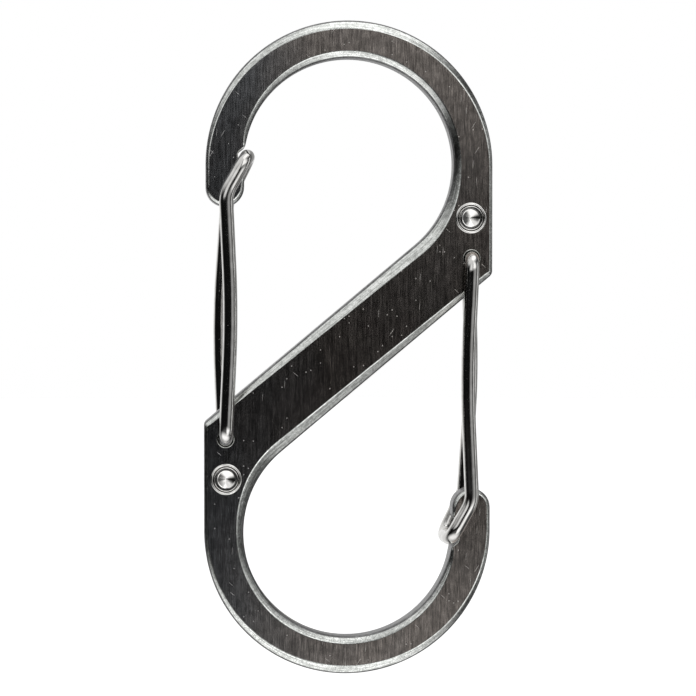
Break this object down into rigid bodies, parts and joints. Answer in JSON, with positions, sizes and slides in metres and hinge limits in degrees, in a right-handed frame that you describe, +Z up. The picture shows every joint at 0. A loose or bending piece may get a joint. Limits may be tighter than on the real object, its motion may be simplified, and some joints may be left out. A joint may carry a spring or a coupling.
{
  "type": "double-gated s-shaped carabiner clip",
  "caption": "Flat S-shaped stainless steel clip: a round open hook at each end, each closed by a bent spring-wire gate that swings inward and snaps back into a notched nose.",
  "frame": {"origin": "centre of the plate, midway between the two hooks and between the two faces", "axes": "+Z up the plate's length, from the lower hook's bend to the upper one's; +Y out of the back face, so -Y is out of the front; +X to the right seen from the front. Half a turn about Y carries each hook, gate and rivet onto the other"},
  "size_m": [0.0274, 0.0054, 0.062],
  "materials": {
    "plate_steel": "brushed along the plate, satin bevels",
    "wire_steel": "polished drawn spring wire",
    "rivet_steel": "polished, turned rings"
  },
  "bodies": {
    "frame": {"frame_plate": "plate_steel", "upper_gate_rear_foot": "wire_steel", "lower_gate_rear_foot": "wire_steel", "upper_gate_front_leg_rivet": "rivet_steel", "upper_gate_rear_leg_rivet": "rivet_steel", "lower_gate_front_leg_rivet": "rivet_steel", "lower_gate_rear_leg_rivet": "rivet_steel"},
    "upper_gate": {"upper_gate_wire": "wire_steel"},
    "lower_gate": {"lower_gate_wire": "wire_steel"}
  },
  "joints": [
    {"name": "upper_gate_hinge", "type": "hinge", "parent": "frame", "child": "upper_gate", "pos_m": [-0.0117, 0, -0.00855], "axis": [0, 1, 0], "range_deg": [0, 35], "stiffness_Nm_per_rad": 0.15, "springref_deg": -11.46},
    {"name": "lower_gate_hinge", "type": "hinge", "parent": "frame", "child": "lower_gate", "pos_m": [0.0117, 0, 0.00855], "axis": [0, 1, 0], "range_deg": [0, 35], "stiffness_Nm_per_rad": 0.15, "springref_deg": -11.46}
  ]
}
